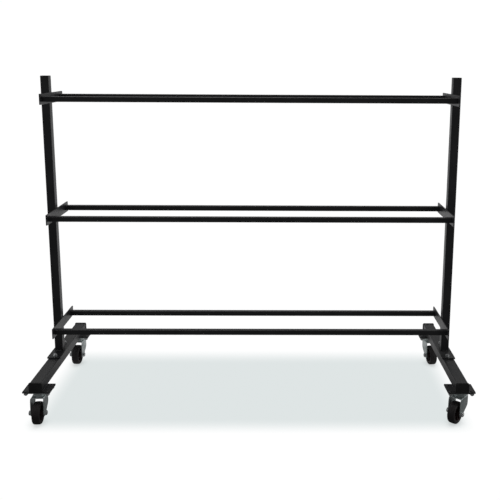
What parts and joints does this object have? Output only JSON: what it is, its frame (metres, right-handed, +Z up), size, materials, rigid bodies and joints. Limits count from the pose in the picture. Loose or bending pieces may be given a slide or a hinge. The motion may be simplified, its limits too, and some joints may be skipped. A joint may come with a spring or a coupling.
{
  "type": "mobile saddle rack",
  "caption": "Free-standing saddle rack on swivel casters: two uprights on base legs carry tiers of paired horizontal rails, bolted between flat arms.",
  "frame": {"origin": "on the floor, under the middle of the outline of the whole rack at rest", "axes": "+X along the rails, to the right as seen from the front; -Y towards the front; +Z up"},
  "size_m": [2.088, 0.793, 1.586],
  "materials": {
    "black_powder_coat": "satin black powder coat",
    "black_plastic": "matt moulded",
    "zinc_plate": "bright zinc plate on pressed sheet",
    "zinc_fasteners": "bright zinc plate",
    "black_bolts": "black oxide",
    "tyre_rubber": "matt rubber",
    "wheel_plastic": "moulded"
  },
  "bodies": {
    "frame": {"left_base_leg": "black_powder_coat", "right_base_leg": "black_powder_coat", "left_upright": "black_powder_coat", "right_upright": "black_powder_coat", "left_foot_plate": "black_powder_coat", "right_foot_plate": "black_powder_coat", "leg_end_plugs": "black_plastic", "upright_caps": "black_plastic", "foot_bolts": "zinc_fasteners", "foot_washers": "zinc_fasteners", "foot_nuts": "zinc_fasteners", "rail_end_inserts": "zinc_fasteners", "rail_bolts": "black_bolts", "rail_washers": "black_bolts", "caster_pads": "black_powder_coat", "caster_top_plates": "zinc_plate", "caster_kingpins": "zinc_fasteners", "caster_swivel_balls": "zinc_fasteners", "caster_bolts": "black_bolts", "caster_nuts": "zinc_fasteners", "bottom_left_arm": "black_powder_coat", "bottom_right_arm": "black_powder_coat", "middle_left_arm": "black_powder_coat", "middle_right_arm": "black_powder_coat", "top_left_arm": "black_powder_coat", "top_right_arm": "black_powder_coat", "bottom_front_rail": "black_powder_coat", "bottom_rear_rail": "black_powder_coat", "middle_front_rail": "black_powder_coat", "middle_rear_rail": "black_powder_coat", "top_front_rail": "black_powder_coat", "top_rear_rail": "black_powder_coat"},
    "front_left_swivel": {"front_left_fork": "zinc_plate", "front_left_axle_sleeve": "zinc_fasteners", "front_left_axle": "zinc_fasteners", "front_left_axle_nuts": "zinc_fasteners"},
    "front_left_wheel": {"front_left_tyre": "tyre_rubber", "front_left_wheel_core": "wheel_plastic"},
    "front_right_swivel": {"front_right_fork": "zinc_plate", "front_right_axle_sleeve": "zinc_fasteners", "front_right_axle": "zinc_fasteners", "front_right_axle_nuts": "zinc_fasteners"},
    "front_right_wheel": {"front_right_tyre": "tyre_rubber", "front_right_wheel_core": "wheel_plastic"},
    "rear_left_swivel": {"rear_left_fork": "zinc_plate", "rear_left_axle_sleeve": "zinc_fasteners", "rear_left_axle": "zinc_fasteners", "rear_left_axle_nuts": "zinc_fasteners"},
    "rear_left_wheel": {"rear_left_tyre": "tyre_rubber", "rear_left_wheel_core": "wheel_plastic"},
    "rear_right_swivel": {"rear_right_fork": "zinc_plate", "rear_right_axle_sleeve": "zinc_fasteners", "rear_right_axle": "zinc_fasteners", "rear_right_axle_nuts": "zinc_fasteners"},
    "rear_right_wheel": {"rear_right_tyre": "tyre_rubber", "rear_right_wheel_core": "wheel_plastic"}
  },
  "joints": [
    {"name": "front_left_turn", "type": "hinge", "parent": "frame", "child": "front_left_swivel", "pos_m": [-0.98, -0.3095, 0.14], "axis": [0, 0, 1], "continuous": true},
    {"name": "front_left_roll", "type": "hinge", "parent": "front_left_swivel", "child": "front_left_wheel", "pos_m": [-0.97817, -0.34445, 0.052], "axis": [0.9986, 0.0523, 0], "continuous": true},
    {"name": "front_right_turn", "type": "hinge", "parent": "frame", "child": "front_right_swivel", "pos_m": [0.98, -0.3095, 0.14], "axis": [0, 0, 1], "continuous": true},
    {"name": "front_right_roll", "type": "hinge", "parent": "front_right_swivel", "child": "front_right_wheel", "pos_m": [0.9575, -0.33631, 0.052], "axis": [0.766, -0.6428, 0], "continuous": true},
    {"name": "rear_left_turn", "type": "hinge", "parent": "frame", "child": "rear_left_swivel", "pos_m": [-0.98, 0.3465, 0.14], "axis": [0, 0, 1], "continuous": true},
    {"name": "rear_left_roll", "type": "hinge", "parent": "rear_left_swivel", "child": "rear_left_wheel", "pos_m": [-0.98122, 0.31152, 0.052], "axis": [0.9994, -0.0349, 0], "continuous": true},
    {"name": "rear_right_turn", "type": "hinge", "parent": "frame", "child": "rear_right_swivel", "pos_m": [0.98, 0.3465, 0.14], "axis": [0, 0, 1], "continuous": true},
    {"name": "rear_right_roll", "type": "hinge", "parent": "rear_right_swivel", "child": "rear_right_wheel", "pos_m": [0.98427, 0.31176, 0.052], "axis": [0.9925, 0.1219, 0], "continuous": true}
  ]
}
